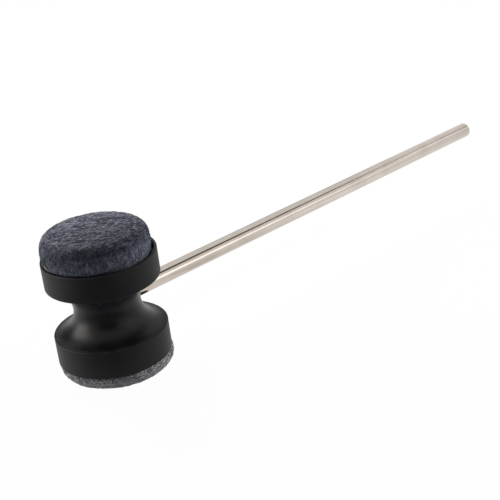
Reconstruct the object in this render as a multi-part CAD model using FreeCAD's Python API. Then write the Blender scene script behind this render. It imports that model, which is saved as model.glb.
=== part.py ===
"""Double-sided bass drum beater: a moulded spool head with a felt pad in each end cup,
held by a set screw on the turned spigot of a plated steel shaft.

Millimetres. The origin is the centre of the lower striking face. +Z runs up the axis of the head,
+X runs along the shaft to its free end, and the set screw enters the waist from +Y.
"""
import FreeCAD, Part
import math
import os

from FreeCAD import Vector

# Shaft: a round bar with a turned spigot that sits in the head
shaft_diameter = 8.0
shaft_reach = 263.0  # axis of the head to the free end
shaft_tip_chamfer = 0.8
spigot_diameter = 7.0
spigot_chamfer = 0.6
locating_groove_depth = 0.7  # the clamp pad drops into this groove, so the head cannot fly off

# Spool: two flanges with end cups, and a half-round groove between them
flange_diameter = 51.0
upper_band_width = 11.9
groove_width = 23.6  # centred on the shaft
lower_band_width = 12.7
waist_diameter = 30.0
cup_depth = 5.0
cup_wall = 1.2
edge_round = 0.4
blind_wall = 4.5  # plastic left behind the end of the shaft bore
spot_face_diameter = 10.0
spot_face_margin = 0.2  # below the depth at which the spot face closes to a full ring

# Felt pads: a thick one on the upper end and a thin one that spreads over the lower rim,
# each drawn in at its cup, widest outside the rim and crowned to a small flat face
upper_felt_thickness = 16.8
upper_felt_bulge = 0.8
lower_felt_thickness = 12.0
lower_felt_bulge = 2.0
felt_edge_radius = 5.0
felt_edge_share = 0.7  # most of a felt's rise above its rim that the round edge may take
felt_crown_radius = 60.0
felt_shoulder_width = 13.5  # flat face's edge to the widest point
glue_thickness = 0.5
glue_inset = 0.6

# Clamp: brass insert, socket set screw and the pad that it presses on the spigot
thread_diameter = 6.0
insert_wall = 1.2
insert_floor = 2.4  # plastic between the shaft bore and the insert
insert_recess = 1.0
insert_ring_width = 1.4  # plain ring between the two knurled ends
insert_ring_depth = 0.5
insert_lead_in = 0.4
screw_recess = 0.5
screw_chamfer = 0.5
socket_across_flats = 3.0
socket_depth = 3.0
clamp_pad_diameter = 4.4
clamp_pad_length = 3.6
clamp_pad_chamfer = 0.3

# Clearances
bore_clearance = 0.05
bore_end_gap = 0.4
shoulder_gap = 0.1
thread_clearance = 0.05
clamp_gap = 0.05  # at each end of the clamp pad
clamp_pad_clearance = 0.1
groove_side_gap = 0.3
felt_seat_gap = 1.1  # felt's drawn-in foot to the wall of the cup

# Worked out from the sizes above
flange_radius = flange_diameter / 2
waist_radius = waist_diameter / 2
cup_radius = flange_radius - cup_wall
felt_seat_radius = cup_radius - felt_seat_gap
upper_felt_rise = upper_felt_thickness + glue_thickness - cup_depth
lower_felt_rise = lower_felt_thickness + glue_thickness - cup_depth
spool_upper_end = groove_width / 2 + upper_band_width
spool_lower_end = -groove_width / 2 - lower_band_width
head_centre = lower_felt_rise - spool_lower_end
head_length = head_centre + spool_upper_end + upper_felt_rise

shaft_radius = shaft_diameter / 2
spigot_radius = spigot_diameter / 2
bore_radius = spigot_radius + bore_clearance
spot_face_radius = spot_face_diameter / 2
spot_face_depth = math.sqrt(waist_radius**2 - spot_face_radius**2) - spot_face_margin
bore_end = blind_wall - waist_radius
locating_groove_radius = spigot_radius - locating_groove_depth
locating_groove_half = clamp_pad_diameter / 2 + groove_side_gap

thread_radius = thread_diameter / 2
insert_bore_radius = thread_radius + thread_clearance
insert_radius = insert_bore_radius + insert_wall
insert_inner = bore_radius + insert_floor
insert_outer = waist_radius - insert_recess
clamp_pad_radius = clamp_pad_diameter / 2
clamp_pad_inner = locating_groove_radius + clamp_gap
clamp_pad_outer = clamp_pad_inner + clamp_pad_length
screw_inner = clamp_pad_outer + clamp_gap
screw_outer = insert_outer - screw_recess

ALONG_SHAFT = Vector(1, 0, 0)
ALONG_SCREW = Vector(0, 1, 0)
UP = Vector(0, 0, 1)
FULL_TURN = 360


def on_axis(shape, direction):
    """Turn a shape made along +Z to another direction, from the point where shaft and head axes cross."""
    shape.Placement = FreeCAD.Placement(Vector(0, 0, head_centre), FreeCAD.Rotation(UP, direction))
    return shape


def turned(outline):
    """Solid turned about +Z from (radius, distance along the axis) corners."""
    corners = [Vector(radius, 0, along) for radius, along in outline]
    face = Part.Face(Part.makePolygon(corners + corners[:1]))
    return face.revolve(Vector(), UP, FULL_TURN)


def rod(radius, start, end, direction):
    """Plain cylinder from start to end along a direction through the centre of the head."""
    return on_axis(Part.makeCylinder(radius, end - start, Vector(0, 0, start)), direction)


def round_edge(centre, radius, first, last):
    """Arc edge in a turned outline, its angles counted from the radius towards +Z."""
    points = []
    for angle in (first, (first + last) / 2, last):
        points.append(Vector(centre[0] + radius * math.cos(angle), 0, centre[1] + radius * math.sin(angle)))
    return Part.Arc(*points).toShape()


def straight_edges(corners):
    """Line edges through (radius, height) corners of a turned outline."""
    points = [Vector(radius, 0, height) for radius, height in corners]
    return [Part.LineSegment(a, b).toShape() for a, b in zip(points, points[1:])]


def shaft():
    """Bar with its shoulder on the spot face, its spigot in the bore and a groove for the clamp pad."""
    shoulder = spot_face_depth + shoulder_gap
    spigot_end = bore_end + bore_end_gap
    outline = [
        (0, spigot_end),
        (spigot_radius - spigot_chamfer, spigot_end),
        (spigot_radius, spigot_end + spigot_chamfer),
        (spigot_radius, -locating_groove_half),
        (locating_groove_radius, -locating_groove_half),
        (locating_groove_radius, locating_groove_half),
        (spigot_radius, locating_groove_half),
        (spigot_radius, shoulder),
        (shaft_radius, shoulder),
        (shaft_radius, shaft_reach - shaft_tip_chamfer),
        (shaft_radius - shaft_tip_chamfer, shaft_reach),
        (0, shaft_reach),
    ]
    return on_axis(turned(outline), ALONG_SHAFT)


def spool_blank():
    """Spool turned in one piece: end cups, flange bands and the half-round groove."""
    half_groove = groove_width / 2
    upper_floor = spool_upper_end - cup_depth
    lower_floor = spool_lower_end + cup_depth
    lower = straight_edges(
        [
            (0, lower_floor),
            (cup_radius, lower_floor),
            (cup_radius, spool_lower_end),
            (flange_radius, spool_lower_end),
            (flange_radius, -half_groove),
        ]
    )
    groove = Part.Arc(
        Vector(flange_radius, 0, -half_groove),
        Vector(waist_radius, 0, 0),
        Vector(flange_radius, 0, half_groove),
    )
    upper = straight_edges(
        [
            (flange_radius, half_groove),
            (flange_radius, spool_upper_end),
            (cup_radius, spool_upper_end),
            (cup_radius, upper_floor),
            (0, upper_floor),
            (0, lower_floor),
        ]
    )
    face = Part.Face(Part.Wire(lower + [groove.toShape()] + upper))
    blank = face.revolve(Vector(), UP, FULL_TURN)
    sharp = [edge for edge in blank.Edges if is_band_edge(edge)]
    blank = blank.makeFillet(min(edge_round, cup_wall / 3), sharp)
    blank.translate(Vector(0, 0, head_centre))
    return blank


def is_band_edge(edge):
    """True for the circles that border the two flange bands."""
    return isinstance(edge.Curve, Part.Circle) and math.isclose(edge.Curve.Radius, flange_radius)


def spool_body():
    """Spool with its spot-faced shaft bore, the pocket of the insert and the hole of the clamp pad."""
    cuts = [
        rod(bore_radius, bore_end, waist_radius, ALONG_SHAFT),
        rod(spot_face_radius, spot_face_depth, flange_radius, ALONG_SHAFT),
        rod(insert_radius, insert_inner, flange_radius, ALONG_SCREW),
        rod(clamp_pad_radius + clamp_pad_clearance, 0, insert_inner, ALONG_SCREW),
    ]
    return spool_blank().cut(cuts)


def felt_pad(thickness, bulge, rise):
    """Felt pad that faces down with its flat striking face on the origin."""
    felt_radius = felt_seat_radius + bulge
    flat_radius = felt_radius - felt_shoulder_width
    edge_radius = min(felt_edge_radius, felt_edge_share * rise)
    lean = math.asin((felt_shoulder_width - edge_radius) / (felt_crown_radius - edge_radius))
    down = -math.pi / 2
    crown_drop = felt_crown_radius * (1 - math.cos(lean))
    widest = crown_drop + edge_radius * math.cos(lean)
    side_height = rise - widest
    side_radius = (bulge**2 + side_height**2) / (2 * bulge)
    side_angle = math.atan2(side_height, side_radius - bulge)
    edges = straight_edges([(0, 0), (flat_radius, 0)])
    edges.append(round_edge((flat_radius, felt_crown_radius), felt_crown_radius, down, down + lean))
    edges.append(round_edge((felt_radius - edge_radius, widest), edge_radius, down + lean, 0))
    edges.append(round_edge((felt_radius - side_radius, widest), side_radius, 0, side_angle))
    edges += straight_edges(
        [
            (felt_seat_radius, rise),
            (felt_seat_radius, thickness),
            (0, thickness),
            (0, 0),
        ]
    )
    return Part.Face(Part.Wire(edges)).revolve(Vector(), UP, FULL_TURN)


def glue_layer(felt_thickness):
    """Adhesive between a felt's foot and the floor of its cup, for a felt that faces down from the origin."""
    return Part.makeCylinder(felt_seat_radius - glue_inset, glue_thickness, Vector(0, 0, felt_thickness))


def facing_up(shape):
    """A piece of the lower end turned over to the upper end."""
    return shape.mirror(Vector(0, 0, head_length / 2), UP)


def set_screw_insert():
    """Brass threaded insert with a plain ring between its knurled ends."""
    middle = (insert_inner + insert_outer) / 2
    ring_radius = insert_radius - insert_ring_depth
    outline = [
        (insert_bore_radius, insert_inner),
        (insert_radius, insert_inner),
        (insert_radius, middle - insert_ring_width / 2),
        (ring_radius, middle - insert_ring_width / 2),
        (ring_radius, middle + insert_ring_width / 2),
        (insert_radius, middle + insert_ring_width / 2),
        (insert_radius, insert_outer),
        (insert_bore_radius + insert_lead_in, insert_outer),
        (insert_bore_radius, insert_outer - insert_lead_in),
    ]
    return on_axis(turned(outline), ALONG_SCREW)


def set_screw():
    """Headless screw with a hexagon socket in its outer end."""
    outline = [
        (0, screw_inner),
        (thread_radius - screw_chamfer, screw_inner),
        (thread_radius, screw_inner + screw_chamfer),
        (thread_radius, screw_outer - screw_chamfer),
        (thread_radius - screw_chamfer, screw_outer),
        (0, screw_outer),
    ]
    corner_radius = socket_across_flats / math.sqrt(3)
    corners = []
    for step in range(7):
        angle = math.radians(60 * step)
        x = corner_radius * math.cos(angle)
        y = corner_radius * math.sin(angle)
        corners.append(Vector(x, y, screw_outer - socket_depth))
    socket = Part.Face(Part.makePolygon(corners)).extrude(Vector(0, 0, socket_depth))
    return on_axis(turned(outline).cut(socket), ALONG_SCREW)


def clamp_pad():
    """Nylon pellet between the set screw and the spigot, which it does not mark."""
    outline = [
        (0, clamp_pad_inner),
        (clamp_pad_radius - clamp_pad_chamfer, clamp_pad_inner),
        (clamp_pad_radius, clamp_pad_inner + clamp_pad_chamfer),
        (clamp_pad_radius, clamp_pad_outer - clamp_pad_chamfer),
        (clamp_pad_radius - clamp_pad_chamfer, clamp_pad_outer),
        (0, clamp_pad_outer),
    ]
    return on_axis(turned(outline), ALONG_SCREW)


def pieces():
    """Every piece of the beater by its node name."""
    return {
        "shaft": shaft(),
        "spool_body": spool_body(),
        "lower_felt_pad": felt_pad(lower_felt_thickness, lower_felt_bulge, lower_felt_rise),
        "upper_felt_pad": facing_up(felt_pad(upper_felt_thickness, upper_felt_bulge, upper_felt_rise)),
        "lower_glue_layer": glue_layer(lower_felt_thickness),
        "upper_glue_layer": facing_up(glue_layer(upper_felt_thickness)),
        "set_screw_insert": set_screw_insert(),
        "set_screw": set_screw(),
        "clamp_pad": clamp_pad(),
    }


os.makedirs("parts", exist_ok=True)
for name, piece in pieces().items():
    piece.exportStep(f"parts/{name}.step")
    print(f"{name}: {len(piece.Solids)} solid, valid {piece.isValid()}, {piece.Volume:.1f} mm3")
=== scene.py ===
"""Double-sided bass drum beater: shaft, moulded spool, felt pads, glue and clamp on the packed frame."""

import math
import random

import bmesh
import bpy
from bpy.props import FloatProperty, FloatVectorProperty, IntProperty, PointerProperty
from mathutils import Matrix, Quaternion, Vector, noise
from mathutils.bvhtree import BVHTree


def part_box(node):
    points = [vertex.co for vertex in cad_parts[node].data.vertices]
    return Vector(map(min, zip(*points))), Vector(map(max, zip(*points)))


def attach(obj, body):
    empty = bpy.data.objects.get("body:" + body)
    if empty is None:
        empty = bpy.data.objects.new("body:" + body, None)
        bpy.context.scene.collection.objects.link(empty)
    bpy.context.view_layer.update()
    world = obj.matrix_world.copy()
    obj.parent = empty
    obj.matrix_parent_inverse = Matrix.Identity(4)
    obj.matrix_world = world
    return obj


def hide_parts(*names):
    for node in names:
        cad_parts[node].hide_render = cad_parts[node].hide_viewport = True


bl_info = {
    "name": "Bass Drum Beater",
    "version": (1, 0, 0),
    "blender": (4, 5, 0),
    "location": "3D View > Sidebar > Beater",
    "description": "Builds a double-sided felt bass drum beater around its CAD frame",
    "category": "Object",
}

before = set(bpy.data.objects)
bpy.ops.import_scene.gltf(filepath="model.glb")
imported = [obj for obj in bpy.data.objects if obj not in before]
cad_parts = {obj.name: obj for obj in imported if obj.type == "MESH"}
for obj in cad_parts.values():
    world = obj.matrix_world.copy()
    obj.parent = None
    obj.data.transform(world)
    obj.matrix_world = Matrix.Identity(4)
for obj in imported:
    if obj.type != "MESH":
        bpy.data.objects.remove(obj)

# Places read from the frame, in metres
SHAFT_LOW, SHAFT_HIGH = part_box("shaft")
SPOOL_LOW, SPOOL_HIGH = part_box("spool_body")
FELT_LOW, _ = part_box("upper_felt_pad")
GLUE_LOW, GLUE_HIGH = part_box("upper_glue_layer")
SCREW_LOW, SCREW_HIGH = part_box("set_screw")
HEAD_CENTRE = Vector((0, 0, (SHAFT_LOW.z + SHAFT_HIGH.z) / 2))
FELT_SEAT = SPOOL_HIGH.z - FELT_LOW.z

ALONG_SHAFT = Vector((1, 0, 0))
ALONG_SCREW = Vector((0, 1, 0))
UP = Vector((0, 0, 1))
FULL_TURN = 2 * math.pi
QUARTER_TURN = math.pi / 2
MERGE_DISTANCE = 1e-6  # corners closer than this are one
CUT_DISTANCE = 1e-7  # corners closer than this to a cut lie on it

# Steps of a full turn
SHAFT_STEPS = 128
FELT_STEPS = 288
GLUE_STEPS = 240
THREAD_STEPS = 48
FLOOR_STEPS = 96


# Settings that a user would change

def length(name, description, default):
    """A size in metres."""
    return FloatProperty(name=name, description=description, default=default, unit="LENGTH", precision=5)


def share(name, description, default):
    """A share from nothing to all."""
    return FloatProperty(name=name, description=description, default=default, min=0, max=1,
                         subtype="FACTOR")


def degrees(name, description, default):
    """An angle, given in degrees."""
    return FloatProperty(name=name, description=description, default=math.radians(default),
                         subtype="ANGLE")


def toning(name, description, default):
    """A step along a felt's ramp of shades, paler above nothing and darker below it."""
    return FloatProperty(name=name, description=description, default=default)


def colour(name, description, default):
    """A linear colour."""
    return FloatVectorProperty(name=name, description=description, default=default, size=3, min=0, max=1,
                               subtype="COLOR")


def place(name, description, default):
    """A point or a size in the frame, in metres."""
    return FloatVectorProperty(name=name, description=description, default=default, size=3, unit="LENGTH",
                               subtype="XYZ", precision=5)


class ShaftSettings(bpy.types.PropertyGroup):
    """Plated steel shaft."""

    spigot_radius: length("Spigot radius", "Turned end inside the head", 0.0035)
    groove_radius: length("Groove radius", "Bottom of the ring that the clamp pad drops into", 0.0028)
    groove_half: length("Groove half width", "Half the width of that ring", 0.0025)
    shoulder: length("Shoulder", "Head axis to the shoulder of the bar", 0.014042)
    tip_chamfer: length("Tip chamfer", "Turned chamfer at the free end", 0.0008)
    spigot_chamfer: length("Spigot chamfer", "Lead-in at the buried end", 0.0006)
    edge: length("Edge break", "Rounding of the turned edges", 0.00018)
    plate: colour("Plate", "Warm bright nickel", (0.57, 0.513, 0.457))
    plate_dull: colour("Dull plate", "Nickel where it is a little tarnished", (0.5, 0.443, 0.391))


class SpoolSettings(bpy.types.PropertyGroup):
    """Moulded spool."""

    plastic: colour("Plastic", "Black moulding", (0.0028, 0.0028, 0.0029))
    plastic_worn: colour("Worn plastic", "Black moulding where it is rubbed", (0.0056, 0.0056, 0.0057))
    # The grey of the band edges is a painted highlight.
    edge_painted_highlight: colour("Worn edge", "Grey of the rubbed band edges", (0.011, 0.011, 0.011))
    # Real lint, and also painted light that lightens the shade under the upper band.
    wool_dust: colour("Wool dust", "Blue-grey lint that the groove catches", (0.03, 0.032, 0.038))
    groove_half: length("Groove half width", "Half the width of the groove at the bands", 0.0118)


class FeltSettings(bpy.types.PropertyGroup):
    """Felt pads."""

    upper_radius: length("Upper radius", "Widest radius of the upper felt", 0.0238)
    upper_rise: length("Upper rise", "Height of the upper felt above its rim", 0.0122)
    upper_shift: place("Upper shift", "How far the upper felt was glued off centre", (-0.00064, 0.00024, 0))
    upper_lump: length("Upper lumps", "Height of the soft unevenness of the upper felt", 0.00017)
    upper_edge: length("Upper edge", "Round of the upper felt's striking edge", 0.0056)
    upper_crease: length("Upper crease", "Depth of the crease below the upper striking edge", 0.0004)
    upper_foot: length("Upper foot", "Radius of the upper felt's foot in its cup", 0.0234)
    upper_skirt: length("Upper skirt", "Radius towards which the upper felt swells over its rim", 0.0246)
    upper_skirt_height: length("Upper skirt height", "Height of that swelling above the rim", 0.0012)
    lower_radius: length("Lower radius", "Widest radius of the lower felt", 0.02535)
    lower_rise: length("Lower rise", "Height of the lower felt below its rim", 0.0074)
    lower_shift: place("Lower shift", "How far the lower felt was glued off centre", (0.0004, -0.0003, 0))
    lower_lump: length("Lower lumps", "Height of the soft unevenness of the lower felt", 0.00008)
    lower_edge: length("Lower edge", "Round of the lower felt's striking edge", 0.0048)
    lower_crease: length("Lower crease", "Depth of the crease above the lower striking edge", 0.0)
    lower_foot: length("Lower foot", "Radius of the lower felt's foot in its cup", 0.0232)
    lower_skirt: length("Lower skirt", "Radius towards which the lower felt swells over its rim", 0.02535)
    lower_skirt_height: length("Lower skirt height", "Height of that swelling from the rim", 0.0)
    crown_radius: length("Crown radius", "Gentle dome of the striking face", 0.06)
    flat_margin: length("Flat margin", "Widest radius less the radius of the flat centre", 0.0135)
    crease_height: length("Crease height", "Middle of the crease above the rim", 0.0083)
    crease_half: length("Crease half width", "Half the width of the crease", 0.0013)
    crease_turn: degrees("Crease direction", "Middle of the crease, from the shaft's", 254)
    crease_spread: degrees("Crease spread", "Half the angle that the crease covers", 38)
    tuft: length("Tufts", "Height of the fibre clumps", 0.00005)
    fibres: IntProperty(name="Fibres", description="Loose fibres on each pad", default=2600, min=0)
    fibre_radius: length("Fibre radius", "Thickest part of a loose fibre", 0.00005)
    upper_dark: colour("Dark wool", "Deepest navy between the fibres", (0.014, 0.015, 0.025))
    upper_middle: colour("Middle wool", "Main navy grey", (0.083, 0.085, 0.116))
    upper_light: colour("Light wool", "Pale grey-blue fibres", (0.27, 0.28, 0.34))
    upper_side: colour("Blue side", "Tint of the upper felt's side", (0.8, 0.85, 0.87))
    # The lower felt is the same felt as the upper one, painted paler as painted light from the floor's
    # bounce; Lower face tones its striking face darker again.
    lower_dark: colour("Lower dark wool", "Deepest grey of the paler lower felt", (0.05, 0.051, 0.058))
    lower_middle: colour("Lower middle wool", "Main grey of the lower felt", (0.255, 0.257, 0.274))
    lower_light: colour("Lower light wool", "Pale fibres of the lower felt", (0.55, 0.555, 0.57))
    lower_side: colour("Grey side", "Tint of the lower felt's side", (1.0, 1.0, 1.0))
    # The slopes paint each face lighter towards the back lamp: painted light.
    upper_nap: toning("Upper nap", "How fast the brushed upper face pales with each metre", 2.8)
    lower_nap: toning("Lower nap", "How fast the brushed lower face pales with each metre", 0.0)
    upper_pale: toning("Upper paleness", "Tone of the upper felt away from its side", 0.008)
    lower_pale: toning("Lower paleness", "Tone of the lower felt away from its side", 0.03)
    upper_face: toning("Upper face", "Further tone of the upper striking face", 0.0)
    lower_face: toning("Lower face", "Further tone of the lower striking face", -0.09)


class GlueSettings(bpy.types.PropertyGroup):
    """Glue under the felts."""

    bead_radius: length("Bead radius", "Outer edge of the squeezed-out bead", 0.0241)
    bead_height: length("Bead height", "Usual height of the bead above the cup's floor", 0.001)
    upper_squeeze: length("Upper squeeze", "How far one spot of glue rose beside the upper felt", 0.0072)
    lower_squeeze: length("Lower squeeze", "How far one spot of glue rose beside the lower felt", 0.0015)
    upper_spot: degrees("Upper spot", "Direction of the upper spot, from the shaft's", 167)
    lower_spot: degrees("Lower spot", "Direction of the lower spot, from the shaft's", 20)
    spot_width: degrees("Spot width", "Half the angle that a spot covers", 11)
    pale: colour("Pale glue", "Dried adhesive", (0.135, 0.138, 0.131))
    dark: colour("Dark glue", "Adhesive where it skinned over", (0.055, 0.057, 0.054))


class ClampSettings(bpy.types.PropertyGroup):
    """Set screw and its neighbours."""

    pitch: length("Pitch", "Advance of the thread in one turn", 0.001)
    root_radius: length("Root radius", "Bottom of the thread", 0.00242)
    crest_radius: length("Crest radius", "Top of the thread", 0.00297)
    chamfer: length("Chamfer", "Cone at both ends", 0.0005)
    socket: length("Socket", "Hexagon across its flats", 0.003)
    socket_depth: length("Socket depth", "Depth of the hexagon", 0.003)
    brass: colour("Brass", "Bright turned brass of the insert", (0.78, 0.58, 0.28))
    brass_dull: colour("Dull brass", "Brass where it is a little tarnished", (0.6, 0.42, 0.18))
    oxide: colour("Black oxide", "Screw where the oxide is rubbed", (0.06, 0.06, 0.066))
    oxide_dull: colour("Dull oxide", "Screw where the oxide is whole", (0.03, 0.03, 0.034))
    nylon: colour("Nylon", "Milky nylon of the clamp pad", (0.84, 0.82, 0.76))
    nylon_dull: colour("Dull nylon", "Nylon where it has yellowed", (0.72, 0.7, 0.63))


class StageSettings(bpy.types.PropertyGroup):
    """Floor, lights and camera."""

    camera_place: place("Camera", "Where the camera stands", (-0.25485, -0.38856, 0.24798))
    camera_aim: place("Aim", "Point in the middle of the picture", (0.07407, -0.01482, 0.032))
    camera_roll: degrees("Roll", "Turn of the camera about its own line of sight", 7.01)
    lens: FloatProperty(name="Lens", description="Focal length for a sensor of 36 mm", default=82.94)
    floor_radius: length("Floor radius", "Edge of the pale floor", 1.6)
    floor_glow: share("Floor glow", "Share of plain white in the floor beside the object", 0.97)
    ambient: share("Ambient", "Level of the even light from all round", 0.1)


SETTINGS = {
    "beater_shaft": ShaftSettings,
    "beater_spool": SpoolSettings,
    "beater_felt": FeltSettings,
    "beater_glue": GlueSettings,
    "beater_clamp": ClampSettings,
    "beater_stage": StageSettings,
}


# Node materials

class Wire:
    """One output of a node tree. Arithmetic on it adds Math nodes."""

    def __init__(self, finish, socket):
        self.finish = finish
        self.socket = socket

    def math(self, operation, first, second):
        return self.finish.node("ShaderNodeMath", {"operation": operation}, {0: first, 1: second})

    def __add__(self, other):
        return self.math("ADD", self, other)

    def __sub__(self, other):
        return self.math("SUBTRACT", self, other)

    def __rsub__(self, other):
        return self.math("SUBTRACT", other, self)

    def __mul__(self, other):
        return self.math("MULTIPLY", self, other)

    __radd__ = __add__
    __rmul__ = __mul__


class Finish:
    """A node tree that is being filled: a material's or the world's."""

    def __init__(self, owner):
        owner.use_nodes = True
        self.owner = owner
        self.tree = owner.node_tree
        self.tree.nodes.clear()

    def node(self, kind, settings=None, sockets=None, out=0):
        """Add a node, set its settings and then its sockets, and give one of its outputs."""
        made = self.tree.nodes.new(kind)
        for key, value in (settings or {}).items():
            if key == "stops":
                self.set_stops(made.color_ramp, value)
            else:
                setattr(made, key, value)
        for key, value in (sockets or {}).items():
            if isinstance(value, Wire):
                self.tree.links.new(value.socket, made.inputs[key])
            else:
                made.inputs[key].default_value = value
        return Wire(self, made.outputs[out]) if made.outputs else None

    def set_stops(self, ramp, stops):
        """Give a colour ramp its (position, colour) stops."""
        while len(ramp.elements) < len(stops):
            ramp.elements.new(1.0)
        for element, (position, shade) in zip(ramp.elements, stops):
            element.position = position
            element.color = (*shade, 1.0)

    def here(self):
        """Object coordinates, which are the frame's metres."""
        return self.node("ShaderNodeTexCoord", out="Object")

    def stretched(self, vector, scale, turn=0.0):
        """A vector turned about the head's axis and scaled along each axis."""
        sockets = {"Vector": vector, "Rotation": (0, 0, turn), "Scale": scale}
        return self.node("ShaderNodeMapping", {}, sockets)

    def noise(self, vector, scale, detail=3.0, roughness=0.55, out="Fac"):
        """Noise about one half."""
        sockets = {"Vector": vector, "Scale": scale, "Detail": detail, "Roughness": roughness}
        return self.node("ShaderNodeTexNoise", {}, sockets, out)

    def ramp(self, value, stops):
        """Colours along a value."""
        return self.node("ShaderNodeValToRGB", {"stops": stops}, {"Fac": value}, "Color")

    def limited(self, value, low, high, to_low=0.0, to_high=1.0):
        """A value carried from one range to another and held inside it."""
        return self.node("ShaderNodeMapRange", {}, {
            "Value": value, "From Min": low, "From Max": high, "To Min": to_low, "To Max": to_high})

    def mixed(self, share, first, second, blend="MIX"):
        """Two colours blended by a share."""
        return self.node("ShaderNodeMix", {"data_type": "RGBA", "blend_type": blend},
                         {0: share, 6: first, 7: second}, 2)

    def from_axis(self, vector):
        """Distance from the head's axis."""
        flat = self.node("ShaderNodeVectorMath", {"operation": "MULTIPLY"}, {0: vector, 1: (1, 1, 0)})
        return self.node("ShaderNodeVectorMath", {"operation": "LENGTH"}, {0: flat}, "Value")

    def from_middle(self, vector):
        """Height above the middle of the head."""
        return self.node("ShaderNodeSeparateXYZ", {}, {0: vector}, "Z") - HEAD_CENTRE.z

    def bump(self, height, strength, distance):
        """A normal that follows a height."""
        sockets = {"Height": height, "Strength": strength, "Distance": distance}
        return self.node("ShaderNodeBump", {}, sockets, "Normal")

    def surface(self, shader):
        """Show a shader, and give the material."""
        is_world = isinstance(self.owner, bpy.types.World)
        kind = "ShaderNodeOutputWorld" if is_world else "ShaderNodeOutputMaterial"
        self.node(kind, {}, {"Surface": shader})
        return self.owner

    def principled(self, sockets):
        """Finish as a principled surface."""
        return self.surface(self.node("ShaderNodeBsdfPrincipled", {}, sockets))


def material(name):
    """A new material, ready to be filled."""
    return Finish(bpy.data.materials.new(name))


GRINDING_MARKS = (30, 2600, 2600)  # scale of the marks along the bar


def nickel_plate(settings):
    """Bright warm nickel over a bar that was ground along its length."""
    finish = material("nickel_plate")
    here = finish.here()
    grind = finish.noise(finish.stretched(here, GRINDING_MARKS), 1.0, 4.0)
    cloud = finish.noise(here, 90)
    shade = cloud * 0.8 + grind * 0.2
    return finish.principled({
        "Base Color": finish.ramp(shade, [(0.35, settings.plate_dull), (0.62, settings.plate)]),
        "Metallic": 1.0,
        "Roughness": 0.09 + finish.limited(grind, 0.3, 0.75) * 0.1,
        "Normal": finish.bump(grind, 0.12, 0.00002),
    })


# Finish of the spool, in metres
GROOVE_STARTS = 0.0004  # depth below the bands
GROOVE_FULL = 0.003  # depth at which the smoother finish is complete
EDGE_HIGHLIGHT_HALF = 0.0003  # half the width of the painted highlight along a band edge
DUST_AND_LIGHT_HEIGHT = 0.0065  # above the middle of the head, where the lint and the painted light on the groove's shade are thickest
MOULD_RINGS = (70, 70, 2400)  # scale of the fine rings round the moulding


def black_plastic(settings):
    """Satin black moulding: a painted highlight on the band edges, a smoother groove, and the wool dust that
    it catches, laid thicker under the upper band as painted light.
    """
    finish = material("black_plastic")
    here = finish.here()
    skin = finish.noise(here, 5200)
    cloud = finish.noise(here, 120, 4.0)
    turned = finish.noise(finish.stretched(here, MOULD_RINGS), 1.0)
    radius = finish.from_axis(here)
    height = finish.from_middle(here)
    in_groove = finish.limited(radius, SPOOL_HIGH.x - GROOVE_STARTS, SPOOL_HIGH.x - GROOVE_FULL)
    apart = finish.node("ShaderNodeMath", {"operation": "ABSOLUTE"}, {0: height})
    # A painted highlight along the band edges by the groove, broken up by noise.
    at_edge = finish.node("ShaderNodeMath", {"operation": "COMPARE"},
                          {0: apart, 1: settings.groove_half, 2: EDGE_HIGHLIGHT_HALF})
    rubbed = at_edge * finish.limited(finish.noise(here, 260), 0.42, 0.62)
    lint = finish.limited(finish.noise(here, 480, 5.0), 0.25, 0.75)
    # Lint, laid thicker towards the upper band as painted light on the shade there.
    caught_dust_and_light = finish.limited(height, 0.0, DUST_AND_LIGHT_HEIGHT, 0.08, 1.0) * lint
    plastic = finish.ramp(cloud, [(0.4, settings.plastic), (0.72, settings.plastic_worn)])
    dusty_and_lit = finish.mixed(in_groove * caught_dust_and_light, plastic, (*settings.wool_dust, 1))
    rough = 0.46 + finish.limited(cloud, 0.3, 0.7) * 0.08 + finish.limited(turned, 0.3, 0.7) * 0.05
    return finish.principled({
        "Base Color": finish.mixed(rubbed, dusty_and_lit, (*settings.edge_painted_highlight, 1)),
        "Roughness": rough - in_groove * 0.18,
        "Specular IOR Level": 0.19,
        "Normal": finish.bump(skin * 0.6 + turned * 0.4, 0.25, 0.00003),
    })


# Lie of the wool
STREAK_TURN = math.radians(43)  # of the fibres on the faces, about the head's axis
STREAK_SCALE = (300, 1600, 1600)  # of those fibres, along and across them
SWAY = (0.0035, 0.0035, 0.0035)  # how far the streaks wander, in metres
WOOL_STOPS = (0.395, 0.5, 0.62)  # places of the dark, middle and light shade


def felt_finish(name, shades, tint, contrasts, side_grain):
    """Pressed wool: wavy fibre streaks across the face, and finer or upright ones down its tinted side."""
    finish = material(name)
    here = finish.here()
    sway = finish.noise(here, 210, 2.0, out="Color")
    swayed = finish.node("ShaderNodeVectorMath", {"operation": "MULTIPLY_ADD"},
                         {0: sway, 1: SWAY, 2: here})
    face = finish.noise(finish.stretched(swayed, STREAK_SCALE, STREAK_TURN), 1.0)
    side = finish.noise(finish.stretched(swayed, side_grain), 1.0, 4.0, 0.62)
    upright = finish.node("ShaderNodeAttribute", {"attribute_name": "side"}, out="Fac")
    # tone holds the paler face, the painted light towards the back lamp and the painted shade of the crease.
    tone = finish.node("ShaderNodeAttribute", {"attribute_name": "tone"}, out="Fac")
    face, side = ((streak - 0.5) * contrast + 0.5 for streak, contrast in zip((face, side), contrasts))
    streak = face + (side - face) * upright
    patch = finish.noise(here, 240)
    grain = finish.noise(swayed, 2600, 2.0)
    wool = streak * 0.7 + patch * 0.08 + grain * 0.22
    shade = finish.ramp(wool + tone, list(zip(WOOL_STOPS, shades)))
    return finish.principled({
        "Base Color": finish.mixed(upright, shade, (*tint, 1), "MULTIPLY"),
        "Roughness": 0.95,
        "Specular IOR Level": 0.15,
        "Sheen Weight": 0.12,
        "Sheen Roughness": 0.5,
        "Normal": finish.bump(wool, 0.4, 0.0004),
    })


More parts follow.
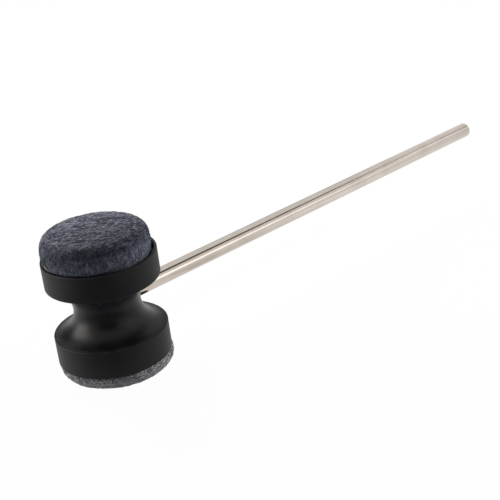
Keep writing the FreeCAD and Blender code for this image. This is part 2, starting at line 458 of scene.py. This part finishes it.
def fibre_finish(name, root, tip):
    """One shade of loose wool."""
    finish = material(name)
    shade = finish.noise(finish.here(), 900, 2.0)
    return finish.principled({
        "Base Color": finish.ramp(shade, [(0.35, root), (0.65, tip)]),
        "Roughness": 0.9,
        "Specular IOR Level": 0.2,
    })


def dried_glue(settings):
    """Grey contact adhesive, dull where it skinned over."""
    finish = material("dried_glue")
    blotch = finish.noise(finish.here(), 700, 4.0)
    return finish.principled({
        "Base Color": finish.ramp(blotch, [(0.35, settings.dark), (0.65, settings.pale)]),
        "Roughness": 0.45 + blotch * 0.3,
        "Normal": finish.bump(blotch, 0.5, 0.0002),
    })


TURNING_MARKS = (1500, 60, 1500)  # scale of the marks round the screw's axis


def turned_metal(name, bright, dull, roughness):
    """Metal with fine turning marks."""
    finish = material(name)
    here = finish.here()
    marks = finish.noise(finish.stretched(here, TURNING_MARKS), 1.0)
    cloud = finish.noise(here, 400)
    return finish.principled({
        "Base Color": finish.ramp(cloud, [(0.35, dull), (0.65, bright)]),
        "Metallic": 1.0,
        "Roughness": roughness + finish.limited(marks, 0.3, 0.7) * 0.15,
        "Normal": finish.bump(marks, 0.2, 0.00003),
    })


def natural_nylon(settings):
    """Milky nylon."""
    finish = material("natural_nylon")
    cloud = finish.noise(finish.here(), 800)
    return finish.principled({
        "Base Color": finish.ramp(cloud, [(0.35, settings.nylon_dull), (0.65, settings.nylon)]),
        "Roughness": 0.4 + cloud * 0.15,
    })


# Mesh building

def arc(centre, radius, first, last, steps):
    """Points of an arc in a turned outline, its angles counted from the radius towards the axis."""
    points = []
    for step in range(steps + 1):
        angle = first + (last - first) * step / steps
        points.append((centre[0] + radius * math.cos(angle), centre[1] + radius * math.sin(angle)))
    return points


def swelling(first, towards, last, steps):
    """Points of a curve in a turned outline that swells towards a point between its ends."""
    points = []
    for step in range(steps + 1):
        part = step / steps
        points.append(tuple(first.lerp(towards, part).lerp(towards.lerp(last, part), part)))
    return points


def in_steady_order(shell):
    """Sort edges and faces by their corners: spinning leaves them in another order on each run."""
    shell.verts.index_update()
    count = len(shell.verts)

    def rank(item):
        places = [vert.index for vert in item.verts]
        return min(places) * count + max(places)

    shell.edges.sort(key=rank)
    shell.faces.sort(key=rank)
    return shell


def spun(outline, axis, origin, steps):
    """A shell turned about an axis from (radius, distance along the axis) points."""
    across = axis.orthogonal().normalized()
    shell = bmesh.new()
    points = [shell.verts.new(origin + across * radius + axis * along) for radius, along in outline]
    edges = [shell.edges.new(pair) for pair in zip(points, points[1:])]
    bmesh.ops.spin(shell, geom=points + edges, cent=origin, axis=axis, angle=FULL_TURN, steps=steps)
    bmesh.ops.remove_doubles(shell, verts=shell.verts, dist=MERGE_DISTANCE)
    bmesh.ops.recalc_face_normals(shell, faces=shell.faces)
    return in_steady_order(shell)


def is_sharp(edge, limit):
    return len(edge.link_faces) == 2 and edge.calc_face_angle() > limit


def broken_edges(shell, width, limit=math.radians(25)):
    """Round every sharp edge a little."""
    sharp = [edge for edge in shell.edges if is_sharp(edge, limit)]
    bmesh.ops.bevel(shell, geom=sharp, offset=width, offset_type="OFFSET", segments=3, profile=0.5,
                    affect="EDGES", clamp_overlap=True, material=-1)


def shaded(shell, limit=math.radians(40)):
    """Smooth shading with the sharp edges kept."""
    for face in shell.faces:
        face.smooth = True
    for edge in shell.edges:
        edge.smooth = not is_sharp(edge, limit)
    return shell


def added(name, data):
    """Add an object to the scene."""
    made = bpy.data.objects.new(name, data)
    bpy.context.scene.collection.objects.link(made)
    return made


def piece(name, mesh, materials, body, replaced=()):
    """Show a mesh as a piece of the object, carried by a body of the frame."""
    made = added(name, mesh)
    mesh.materials.clear()
    for finish in materials:
        mesh.materials.append(finish)
    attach(made, body)
    if replaced:
        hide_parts(*replaced)
    return made


def mesh_of(shell, name):
    """Turn a finished shell into a mesh."""
    mesh = bpy.data.meshes.new(name)
    shell.to_mesh(mesh)
    shell.free()
    return mesh


def dress(node, finish):
    """Give a CAD node a better material."""
    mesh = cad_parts[node].data
    mesh.materials.clear()
    mesh.materials.append(finish)


# Shaft

def shaft_outline(settings):
    """Buried end, groove, shoulder and chamfered tip, as (radius, distance from the head's axis)."""
    bar = SHAFT_HIGH.y
    return [
        (0, SHAFT_LOW.x),
        (settings.spigot_radius - settings.spigot_chamfer, SHAFT_LOW.x),
        (settings.spigot_radius, SHAFT_LOW.x + settings.spigot_chamfer),
        (settings.spigot_radius, -settings.groove_half),
        (settings.groove_radius, -settings.groove_half),
        (settings.groove_radius, settings.groove_half),
        (settings.spigot_radius, settings.groove_half),
        (settings.spigot_radius, settings.shoulder),
        (bar, settings.shoulder),
        (bar, SHAFT_HIGH.x - settings.tip_chamfer),
        (bar - settings.tip_chamfer, SHAFT_HIGH.x),
        (0, SHAFT_HIGH.x),
    ]


class BEATER_OT_shaft(bpy.types.Operator):
    """Turn the plated steel shaft with its chamfered tip and buried spigot"""

    bl_idname = "beater.shaft"
    bl_label = "Plated shaft"

    def execute(self, context):
        settings = context.scene.beater_shaft
        shell = spun(shaft_outline(settings), ALONG_SHAFT, HEAD_CENTRE, SHAFT_STEPS)
        broken_edges(shell, settings.edge)
        piece("plated_shaft", mesh_of(shaded(shell), "plated_shaft"), [nickel_plate(settings)], "shaft",
              ["shaft"])
        return {"FINISHED"}


# Spool

class BEATER_OT_spool(bpy.types.Operator):
    """Give the moulded spool its satin black plastic"""

    bl_idname = "beater.spool"
    bl_label = "Moulded spool"

    def execute(self, context):
        dress("spool_body", black_plastic(context.scene.beater_spool))
        return {"FINISHED"}


# Felt pads

def of_end(settings, end):
    """Look up what belongs to the upper or the lower end."""
    return lambda name: getattr(settings, end + "_" + name)


# Steps of a felt's outline
FOOT_STEPS = 12
CUP_STEPS = 5
SIDE_STEPS = 9
EDGE_STEPS = 20
CROWN_STEPS = 18
FLAT_STEPS = 20


def felt_outline(settings, end):
    """Foot in the cup, bulged side, round edge and dome, as (radius, height above the rim)."""
    own = of_end(settings, end)
    radius, rise, edge, foot = map(own, ("radius", "rise", "edge", "foot"))
    crown = settings.crown_radius
    shoulder = radius - edge
    flat = radius - settings.flat_margin
    lean = math.asin((shoulder - flat) / (crown - edge))
    widest = rise - crown + (crown - edge) * math.cos(lean)
    skirt = Vector((own("skirt"), own("skirt_height")))
    outline = [(foot * step / FOOT_STEPS, -FELT_SEAT) for step in range(FOOT_STEPS + 1)]
    outline += [(foot, -FELT_SEAT * step / CUP_STEPS) for step in range(CUP_STEPS - 1, 0, -1)]
    outline += swelling(Vector((foot, 0)), skirt, Vector((radius, widest)), SIDE_STEPS)
    outline += arc((shoulder, widest), edge, 0, QUARTER_TURN - lean, EDGE_STEPS)[1:]
    outline += arc((flat, rise - crown), crown, QUARTER_TURN - lean, QUARTER_TURN, CROWN_STEPS)[1:]
    outline += [(flat * (1 - step / FLAT_STEPS), rise) for step in range(1, FLAT_STEPS + 1)]
    return outline


# Scales of the felt's unevenness
LUMPS = 95
SMALL_LUMPS = 210
TUFT_LONG = 320  # along the fibres
TUFT_SHORT = 1250  # across them

# Tones of the felt, and how it leaves its cup
PAINTED_LIGHT_WAY = Quaternion(UP, math.radians(75)) @ ALONG_SHAFT  # direction towards the back lamp, in which the face is painted lighter
CREASE_PAINTED_SHADE = 130.0  # painted shade: darkening for each metre of the crease's depth
FACE_FADE = 0.004  # metres over which the striking face takes its own tone
RIM_FADE = 0.001  # metres below the rim at which the lumps have faded out
SIDE_GAIN, SIDE_START = 1.35, 0.2  # how a normal's tilt counts as the felt's side


def held(value):
    """A value held between nothing and one."""
    return min(1.0, max(0.0, value))


def uneven(point, upright, lump, tuft, seed):
    """Height of the felt's lumps and tufts at a point."""
    far = Vector((0, 0, seed))
    lumps = noise.noise(point * LUMPS + far) + 0.5 * noise.noise(point * SMALL_LUMPS + far)
    along = Quaternion(UP, STREAK_TURN) @ point
    face = noise.noise(Vector((along.x * TUFT_LONG, along.y * TUFT_SHORT, along.z * TUFT_SHORT)) + far)
    side = noise.noise(Vector((point.x * TUFT_SHORT, point.y * TUFT_SHORT, point.z * TUFT_LONG)) + far)
    return lump * lumps + tuft * (face + (side - face) * upright)


def turned_from(point, direction):
    """Angle about the head's axis from a direction to a point, at most half a turn either way."""
    return math.remainder(math.atan2(point.y, point.x) - direction, FULL_TURN)


def crease_mask(settings, point):
    """One in the middle of the crease below the striking edge, fading out round it."""
    turn = turned_from(point, settings.crease_turn) / settings.crease_spread
    height = (point.z - settings.crease_height) / settings.crease_half
    return math.exp(-turn ** 4 - height ** 2)


def felt_shell(settings, end, rim, facing, seed):
    """A felt pad with its lumps, standing on its rim and facing up (1) or down (-1)."""
    own = of_end(settings, end)
    shift, lump, depth = map(own, ("shift", "lump", "crease"))
    nap, pale, face_tone = map(own, ("nap", "pale", "face"))
    shoulder = own("radius") - own("edge")
    shell = spun(felt_outline(settings, end), UP, Vector(), FELT_STEPS)
    side = shell.verts.layers.float.new("side")
    tone = shell.verts.layers.float.new("tone")
    shell.normal_update()
    normals = [vert.normal.copy() for vert in shell.verts]
    for vert, normal in zip(shell.verts, normals):
        upright = held(SIDE_GAIN * (1 - normal.z) - SIDE_START)
        vert[side] = upright
        shown = held(vert.co.z / RIM_FADE + 1)
        crease = depth * crease_mask(settings, vert.co)
        # The face is paler than the side, and painted lighter towards the back lamp.
        paler_face_and_painted_light = (pale + nap * vert.co.dot(PAINTED_LIGHT_WAY)) * (1 - upright)
        struck = held((shoulder - vert.co.xy.length) / FACE_FADE)
        # The crease is darkened with painted shade.
        vert[tone] = paler_face_and_painted_light + face_tone * struck - CREASE_PAINTED_SHADE * crease
        vert.co += normal * (uneven(vert.co, upright, lump, settings.tuft, seed) * shown - crease)
    bmesh.ops.scale(shell, vec=(1, 1, facing), verts=shell.verts)
    bmesh.ops.translate(shell, vec=Vector((shift[0], shift[1], rim)), verts=shell.verts)
    bmesh.ops.recalc_face_normals(shell, faces=shell.faces)
    return shaded(shell, limit=math.pi)


# Loose fibres
FIBRE_KNOTS = 5
FIBRE_STEP = (0.0004, 0.0011)  # least and most metres from knot to knot
FIBRE_STRAY = 0.5  # spread of the headings, in radians
FIBRE_BEND = 0.35  # spread of the bend at each knot, in radians
FIBRE_LIFTS = (0.00002, 0.00004, 0.00008, 0.00022)  # heights to which a fibre arches, in metres
ARCH_START, ARCH_SPAN = 0.12, 0.8  # stretch of a half wave that the arch follows
FIBRE_ENDS = 0.45  # radius of a fibre's ends, as a share of its middle's


def fibre_points(tree, start, normal, draw, upright):
    """A short wavy line of points that follows the felt near a place on it."""
    lay = Vector((math.cos(STREAK_TURN), -math.sin(STREAK_TURN), 0)) * (1 - upright) + UP * upright
    heading = (lay - normal * lay.dot(normal)).normalized()
    heading = Quaternion(normal, draw.gauss(0, FIBRE_STRAY)) @ heading
    step = draw.uniform(*FIBRE_STEP)
    bend = draw.gauss(0, FIBRE_BEND)
    lift = draw.choice(FIBRE_LIFTS)
    points = []
    spot = start
    for count in range(FIBRE_KNOTS):
        near, out, _, _ = tree.find_nearest(spot)
        arch = math.sin(math.pi * (ARCH_START + ARCH_SPAN * count / (FIBRE_KNOTS - 1)))
        points.append(near + out * lift * arch)
        heading = Quaternion(out, bend) @ (heading - out * heading.dot(out)).normalized()
        spot = near + heading * step
    return points


def add_strand(wool, points, shade):
    """Lay one fibre, thickest in its middle."""
    strand = wool.splines.new("POLY")
    strand.points.add(len(points) - 1)
    strand.material_index = shade
    for count, (knot, spot) in enumerate(zip(strand.points, points)):
        knot.co = (*spot, 1)
        swell = math.sin(math.pi * count / (len(points) - 1))
        knot.radius = FIBRE_ENDS + (1 - FIBRE_ENDS) * swell


def loose_fibres(name, mesh, rim, facing, settings, finishes, seed):
    """Fine wool fibres that lie on the shown part of a felt and break up its outline."""
    draw = random.Random(seed)
    shell = bmesh.new()
    shell.from_mesh(mesh)
    tree = BVHTree.FromBMesh(shell)
    shown = [face for face in shell.faces if (face.calc_center_median().z - rim) * facing > 0]
    areas = [face.calc_area() for face in shown]
    wool = bpy.data.curves.new(name, "CURVE")
    wool.dimensions = "3D"
    wool.bevel_depth = settings.fibre_radius
    wool.bevel_resolution = 0
    wool.use_fill_caps = True
    for face in draw.choices(shown, areas, k=settings.fibres):
        upright = 1 - abs(face.normal.z)
        points = fibre_points(tree, face.calc_center_median(), face.normal.copy(), draw, upright)
        add_strand(wool, points, draw.choice(range(len(finishes))))
    shell.free()
    curve = added(name + "_line", wool)
    graph = bpy.context.evaluated_depsgraph_get()
    strands = bpy.data.meshes.new_from_object(curve.evaluated_get(graph))
    bpy.data.objects.remove(curve)
    piece(name, strands, finishes, "head")


class BEATER_OT_felts(bpy.types.Operator):
    """Press the two felt pads and lay loose wool fibres on them"""

    bl_idname = "beater.felts"
    bl_label = "Felt pads"

    def execute(self, context):
        settings = context.scene.beater_felt
        # End, rim, way it faces, seed, contrast of face and side, scale of the side's grain
        ends = (
            ("upper", SPOOL_HIGH.z, 1, 3, (1.0, 0.6), (1600, 1600, 420)),
            ("lower", SPOOL_LOW.z, -1, 11, (0.55, 1.35), (1500, 1500, 1700)),
        )
        for end, rim, facing, seed, contrasts, side_grain in ends:
            own = of_end(settings, end)
            # The lower end's shades are painted paler, as painted light from the floor's bounce.
            dark, middle, light = shades = [own(shade) for shade in ("dark", "middle", "light")]
            wool = felt_finish(end + "_wool", shades, own("side"), contrasts, side_grain)
            finishes = [
                fibre_finish(end + "_dark_fibre", dark, middle),
                fibre_finish(end + "_middle_fibre", middle, light),
                fibre_finish(end + "_light_fibre", light, light),
            ]
            shell = felt_shell(settings, end, rim, facing, seed)
            pad = piece(end + "_felt", mesh_of(shell, end + "_felt"), [wool], "head",
                        [end + "_felt_pad"])
            loose_fibres(end + "_felt_fibres", pad.data, rim, facing, settings, finishes, seed)
        return {"FINISHED"}


# Glue
BEAD_STEPS = 12
BEAD_STARTS = 1.01  # height of the lowest raised point, in thicknesses of the layer
GLUE_SPREAD = 22.0  # widening for each metre above the rim
GLUE_RAGGED = 0.25  # share of a spot's height that comes and goes
GLUE_WANDER = 0.0003  # unevenness of the bead, in metres
RAGGED_SCALE = 700
WANDER_SCALE = 420


def glue_outline(settings, thickness):
    """A thin disc with a round bead at its edge, as (radius, height above the cup's floor)."""
    bead = settings.bead_height / 2
    centre = (settings.bead_radius - bead, bead)
    outline = [(0, 0), (centre[0], 0)]
    outline += arc(centre, bead, -QUARTER_TURN, 2 * QUARTER_TURN, BEAD_STEPS)[1:]
    outline += [(centre[0] - bead, thickness), (0, thickness)]
    return outline


def glue_shell(settings, end, floor, facing, thickness):
    """A glue layer whose bead rises at one spot beside the felt."""
    spot, squeeze = map(of_end(settings, end), ("spot", "squeeze"))
    shell = spun(glue_outline(settings, thickness), UP, Vector(), GLUE_STEPS)
    for vert in shell.verts:
        turn = turned_from(vert.co, spot) / settings.spot_width
        ragged = 1 + GLUE_RAGGED * noise.noise(vert.co * RAGGED_SCALE)
        rise = squeeze * math.exp(-turn ** 4) * ragged
        wander = GLUE_WANDER * noise.noise(vert.co * WANDER_SCALE)
        if vert.co.z > thickness * BEAD_STARTS:
            vert.co.z += (rise + wander) * (vert.co.z - thickness) / (settings.bead_height - thickness)
            spread = 1 + GLUE_SPREAD * max(0.0, vert.co.z - FELT_SEAT)
            vert.co.x *= spread
            vert.co.y *= spread
    bmesh.ops.scale(shell, vec=(1, 1, facing), verts=shell.verts)
    bmesh.ops.translate(shell, vec=Vector((0, 0, floor)), verts=shell.verts)
    bmesh.ops.recalc_face_normals(shell, faces=shell.faces)
    return shaded(shell)


class BEATER_OT_glue(bpy.types.Operator):
    """Spread the glue under the felts, with the bead that was squeezed out"""

    bl_idname = "beater.glue"
    bl_label = "Glue layers"

    def execute(self, context):
        settings = context.scene.beater_glue
        finish = dried_glue(settings)
        thickness = GLUE_HIGH.z - GLUE_LOW.z
        lower_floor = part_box("lower_glue_layer")[1].z
        for end, floor, facing in (("upper", GLUE_LOW.z, 1), ("lower", lower_floor, -1)):
            shell = glue_shell(settings, end, floor, facing, thickness)
            piece(end + "_glue", mesh_of(shell, end + "_glue"), [finish], "head",
                  [end + "_glue_layer"])
        return {"FINISHED"}


# Clamp
SPARE_TURNS = 2  # of the thread, cut off again at its ends
SOCKET_SIDES = 6


def thread_shell(settings, first, last):
    """A threaded bar between two distances along its axis, open at both ends and tapered towards them."""
    turns = math.ceil((last - first) / settings.pitch) + SPARE_TURNS
    rise = settings.pitch / THREAD_STEPS
    half_crest = settings.pitch / 16
    shell = bmesh.new()
    profile = (
        (settings.root_radius, 0),
        (settings.crest_radius, settings.pitch / 2 - half_crest),
        (settings.crest_radius, settings.pitch / 2 + half_crest),
        (settings.root_radius, settings.pitch),
    )
    start = first - settings.pitch
    points = [shell.verts.new(HEAD_CENTRE + UP * radius + ALONG_SCREW * (start + along))
              for radius, along in profile]
    edges = [shell.edges.new(pair) for pair in zip(points, points[1:])]
    bmesh.ops.spin(shell, geom=points + edges, cent=HEAD_CENTRE, axis=ALONG_SCREW,
                   dvec=ALONG_SCREW * rise, angle=FULL_TURN * turns, steps=THREAD_STEPS * turns)
    bmesh.ops.remove_doubles(shell, verts=shell.verts, dist=MERGE_DISTANCE)
    for along, outwards in ((first, -ALONG_SCREW), (last, ALONG_SCREW)):
        bmesh.ops.bisect_plane(shell, geom=shell.verts[:] + shell.edges[:] + shell.faces[:],
                               dist=CUT_DISTANCE, plane_co=HEAD_CENTRE + ALONG_SCREW * along,
                               plane_no=outwards, clear_outer=True)
    for vert in shell.verts:
        along = (vert.co - HEAD_CENTRE).dot(ALONG_SCREW)
        spoke = vert.co - HEAD_CENTRE - ALONG_SCREW * along
        limit = settings.crest_radius - settings.chamfer + min(along - first, last - along)
        if spoke.length > limit:
            vert.co -= spoke * (1 - limit / spoke.length)
    return shell


def end_loop(shell, along):
    """Edges of the open end at a distance along the screw."""
    return [edge for edge in shell.edges
            if edge.is_boundary and all(abs(vert.co.y - along) < MERGE_DISTANCE for vert in edge.verts)]


def set_screw_shell(settings):
    """Threaded set screw with a flat point and a hexagon socket."""
    point, top = SCREW_LOW.y, SCREW_HIGH.y
    shell = thread_shell(settings, point, top)
    bmesh.ops.contextual_create(shell, geom=end_loop(shell, point))
    turn = Matrix.Rotation(-QUARTER_TURN, 4, "X")
    place_socket = Matrix.Translation(HEAD_CENTRE + ALONG_SCREW * top) @ turn
    rim = bmesh.ops.create_circle(shell, segments=SOCKET_SIDES, radius=settings.socket / math.sqrt(3),
                                  matrix=place_socket)
    hexagon = list(dict.fromkeys(edge for vert in rim["verts"] for edge in vert.link_edges))
    bmesh.ops.bridge_loops(shell, edges=end_loop(shell, top) + hexagon)
    walls = bmesh.ops.extrude_edge_only(shell, edges=hexagon)["geom"]
    floor = [item for item in walls if isinstance(item, bmesh.types.BMVert)]
    bmesh.ops.translate(shell, vec=-ALONG_SCREW * settings.socket_depth, verts=floor)
    bmesh.ops.contextual_create(shell, geom=end_loop(shell, top - settings.socket_depth))
    bmesh.ops.recalc_face_normals(shell, faces=shell.faces)
    return shaded(shell, limit=math.radians(28))


class BEATER_OT_clamp(bpy.types.Operator):
    """Cut the set screw, and finish its brass insert and the clamp pad"""

    bl_idname = "beater.clamp"
    bl_label = "Clamp"

    def execute(self, context):
        settings = context.scene.beater_clamp
        dress("set_screw_insert", turned_metal("turned_brass", settings.brass, settings.brass_dull, 0.2))
        oxide = turned_metal("black_oxide", settings.oxide, settings.oxide_dull, 0.35)
        piece("socket_screw", mesh_of(set_screw_shell(settings), "socket_screw"), [oxide], "set_screw",
              ["set_screw"])
        dress("clamp_pad", natural_nylon(settings))
        return {"FINISHED"}


# Stage

FLOOR_FADE = (0.2, 0.45)  # metres from the origin over which the floor turns plain white
PAPER = (0.82, 0.82, 0.82, 1)
WHITE = (1, 1, 1, 1)
WARM = (1.0, 0.95, 0.89)


def seen(finish):
    """One for what the camera, mirrors and glass see of the background, nothing for its light."""
    kinds = ("Is Camera Ray", "Is Glossy Ray", "Is Transmission Ray")
    rays = [finish.node("ShaderNodeLightPath", out=kind) for kind in kinds]
    return finish.limited(sum(rays), 0, 1)


def white_world(settings):
    """White all round to the eye, and an even soft light."""
    finish = Finish(bpy.data.worlds.new("white_studio"))
    light = finish.node("ShaderNodeBackground", {}, {"Color": WHITE, "Strength": settings.ambient})
    white = finish.node("ShaderNodeBackground", {}, {"Color": WHITE, "Strength": 1.0})
    return finish.surface(finish.node("ShaderNodeMixShader", {}, {0: seen(finish), 1: light, 2: white}))


def pale_floor(settings):
    """White paper that fades into the background and keeps the object's shadow."""
    finish = material("pale_floor")
    away = finish.node("ShaderNodeVectorMath", {"operation": "LENGTH"}, {0: finish.here()}, "Value")
    glow = finish.limited(away, *FLOOR_FADE, settings.floor_glow, 1.0)
    paper = finish.node("ShaderNodeBsdfDiffuse", {}, {"Color": PAPER})
    white = finish.node("ShaderNodeEmission", {}, {"Color": WHITE, "Strength": 1.0})
    top = finish.node("ShaderNodeMixShader", {}, {0: seen(finish) * glow, 1: paper, 2: white})
    back = finish.node("ShaderNodeNewGeometry", out="Backfacing")
    clear = finish.node("ShaderNodeBsdfTransparent")
    return finish.surface(finish.node("ShaderNodeMixShader", {}, {0: back, 1: top, 2: clear}))


def facing_matrix(stand, aim, along):
    """Place at a point, looking at another, with the width along a direction."""
    back = (stand - aim).normalized()
    across = (along - back * along.dot(back)).normalized()
    turn = Matrix((across, back.cross(across), back)).transposed()
    return Matrix.Translation(stand) @ turn.to_4x4()


def from_head(azimuth, elevation, distance):
    """A point seen from the middle of the head in a direction, in degrees."""
    turn, lift = math.radians(azimuth), math.radians(elevation)
    flat = distance * math.cos(lift)
    return HEAD_CENTRE + Vector((flat * math.cos(turn), flat * math.sin(turn), distance * math.sin(lift)))


def area_light(name, stand, size, watts):
    """A soft box that faces the head, which shiny surfaces don't show. Shiny surfaces
    show a card in its place.
    """
    lamp = bpy.data.lights.new(name, "AREA")
    lamp.shape = "RECTANGLE"
    lamp.size, lamp.size_y = size
    lamp.energy = watts
    made = added(name, lamp)
    made.matrix_world = facing_matrix(stand, HEAD_CENTRE, ALONG_SHAFT)
    made.visible_glossy = False


def mirror_card(name, stand, aim, along, size, taper, levels, tint=(1, 1, 1)):
    """A card that only shiny surfaces show, with its own width and level at its far end."""
    finish = material(name)
    level = finish.node("ShaderNodeAttribute", {"attribute_name": "glow"}, out="Color")
    glow = finish.node("ShaderNodeEmission", {}, {"Color": level, "Strength": 1.0})
    shell = bmesh.new()
    bmesh.ops.create_grid(shell, x_segments=1, y_segments=1, size=0.5)
    layer = shell.verts.layers.float_color.new("glow")
    near, far = levels
    for vert in shell.verts:
        vert[layer] = (*(Vector(tint) * (far if vert.co.x > 0 else near)), 1)
    bmesh.ops.scale(shell, vec=(*size, 1), verts=shell.verts)
    bmesh.ops.scale(shell, vec=(1, taper, 1), verts=[vert for vert in shell.verts if vert.co.x > 0])
    bmesh.ops.transform(shell, matrix=facing_matrix(stand, aim, along), verts=shell.verts)
    made = added(name, mesh_of(shell, name))
    made.data.materials.append(finish.surface(glow))
    made.visible_camera = False
    made.visible_diffuse = False
    made.visible_shadow = False


def camera(settings):
    """The photograph's viewpoint."""
    lens = bpy.data.cameras.new("camera")
    lens.lens = settings.lens
    lens.clip_start = 0.01
    made = added("camera", lens)
    made.location = settings.camera_place
    sight = (Vector(settings.camera_aim) - Vector(settings.camera_place)).normalized()
    made.rotation_mode = "QUATERNION"
    made.rotation_quaternion = Quaternion(sight, settings.camera_roll) @ sight.to_track_quat("-Z", "Y")
    bpy.context.scene.camera = made


def light_soft_boxes():
    """Soft boxes behind, left and right of the head."""
    # Name, place, size, watts
    boxes = (
        ("back_light", from_head(75, 38, 0.95), (0.5, 0.5), 8.0),
        ("left_light", from_head(126, 20, 0.85), (0.35, 0.4), 4.1),
        ("right_light", from_head(330, 22, 0.95), (0.5, 0.4), 7.6),
    )
    for box in boxes:
        area_light(*box)


# Places that the cards hang round, in metres
BAR_MIDDLE = Vector((0.12, 0, HEAD_CENTRE.z))
BEYOND_TIP = Vector((1.45, 0, HEAD_CENTRE.z))
CAMERA_SIDE = Vector((-0.7, -0.72, 0))
CAMERA_WIDTH = Vector((0.72, -0.7, 0))
FRONT_AIM = UP * 0.18
ON_FLOOR = UP * 0.002
SHADE_SPOT = Vector((0.12, -0.075, 0))
GLOW_SPOT = Vector((0.28, -0.075, 0))
FLAG_SPOT = CAMERA_SIDE * 0.14


def hang_cards():
    """Bright and dark cards that the plating and the plastic mirror."""
    # Name, place, aim, direction, size, taper, levels at both ends, and a tint if it isn't white
    cards = (
        ("left_card", from_head(140, 20, 0.85), HEAD_CENTRE, ALONG_SCREW, (0.6, 0.7), 1.0, (6.0, 6.0), WARM),
        ("right_card", Vector((0.6, -0.74, 0.3)), BAR_MIDDLE, ALONG_SHAFT, (0.8, 0.4), 0.4, (2.3, 1.2)),
        ("dark_flag", Vector((0.62, -0.28, 0.86)), BAR_MIDDLE, ALONG_SHAFT, (0.8, 0.5), 0.1, (0.1, 0.1)),
        ("back_card", from_head(52, 5, 1.0), BAR_MIDDLE, ALONG_SHAFT, (0.6, 0.5), 1.0, (0.6, 0.6)),
        ("side_flag", from_head(92, 16, 0.9), HEAD_CENTRE, ALONG_SHAFT, (0.5, 0.6), 1.0, (0.08, 0.08)),
        ("tip_flag", Vector((1.45, -0.28, 0.86)), BEYOND_TIP, ALONG_SHAFT, (0.8, 0.03), 5.0, (0.1, 0.1)),
        ("tip_card", Vector((1.45, -0.55, 0.6)), BEYOND_TIP, ALONG_SHAFT, (0.7, 0.12), 1.0, (1.7, 1.7)),
        ("shade_card", SHADE_SPOT + ON_FLOOR, SHADE_SPOT, ALONG_SHAFT, (0.12, 0.126), 1.0, (0.82, 1.2)),
        ("glow_card", GLOW_SPOT + ON_FLOOR, GLOW_SPOT, ALONG_SHAFT, (0.2, 0.126), 1.0, (1.2, 0.97)),
        ("front_flag", CAMERA_SIDE * 0.55 + FRONT_AIM, FRONT_AIM, CAMERA_WIDTH, (0.66, 0.36), 1.0,
         (0.12, 0.12)),
        ("floor_flag", FLAG_SPOT + ON_FLOOR, FLAG_SPOT, CAMERA_WIDTH, (0.26, 0.2), 1.0, (0.3, 0.3)),
    )
    for card in cards:
        mirror_card(*card)


class BEATER_OT_stage(bpy.types.Operator):
    """Set up the floor, the lights and the camera"""

    bl_idname = "beater.stage"
    bl_label = "Stage"

    def execute(self, context):
        settings = context.scene.beater_stage
        context.scene.world = white_world(settings)
        context.scene.view_settings.view_transform = "Standard"
        shell = bmesh.new()
        bmesh.ops.create_circle(shell, cap_ends=True, segments=FLOOR_STEPS, radius=settings.floor_radius)
        floor = added("floor", mesh_of(shell, "floor"))
        floor.data.materials.append(pale_floor(settings))
        light_soft_boxes()
        hang_cards()
        camera(settings)
        return {"FINISHED"}


# Panel and registration

OPERATORS = (
    BEATER_OT_shaft,
    BEATER_OT_spool,
    BEATER_OT_felts,
    BEATER_OT_glue,
    BEATER_OT_clamp,
    BEATER_OT_stage,
)


class BEATER_PT_sidebar(bpy.types.Panel):
    """Settings and steps of the beater"""

    bl_idname = "BEATER_PT_sidebar"
    bl_label = "Bass Drum Beater"
    bl_space_type = "VIEW_3D"
    bl_region_type = "UI"
    bl_category = "Beater"

    def draw(self, context):
        for operator in OPERATORS:
            self.layout.operator(operator.bl_idname)
        for owner, group in SETTINGS.items():
            box = self.layout.box()
            box.label(text=group.__doc__)
            for key in group.__annotations__:
                box.prop(getattr(context.scene, owner), key)


def register():
    for group in SETTINGS.values():
        bpy.utils.register_class(group)
    for owner, group in SETTINGS.items():
        setattr(bpy.types.Scene, owner, PointerProperty(type=group))
    for shown in (*OPERATORS, BEATER_PT_sidebar):
        bpy.utils.register_class(shown)


def unregister():
    for shown in (BEATER_PT_sidebar, *reversed(OPERATORS)):
        bpy.utils.unregister_class(shown)
    for owner, group in reversed(SETTINGS.items()):
        delattr(bpy.types.Scene, owner)
        bpy.utils.unregister_class(group)


def main():
    """Build the beater step by step."""
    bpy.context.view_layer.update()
    register()
    bpy.ops.beater.shaft()
    bpy.ops.beater.spool()
    bpy.ops.beater.felts()
    bpy.ops.beater.glue()
    bpy.ops.beater.clamp()
    bpy.ops.beater.stage()


if __name__ == "__main__":
    main()
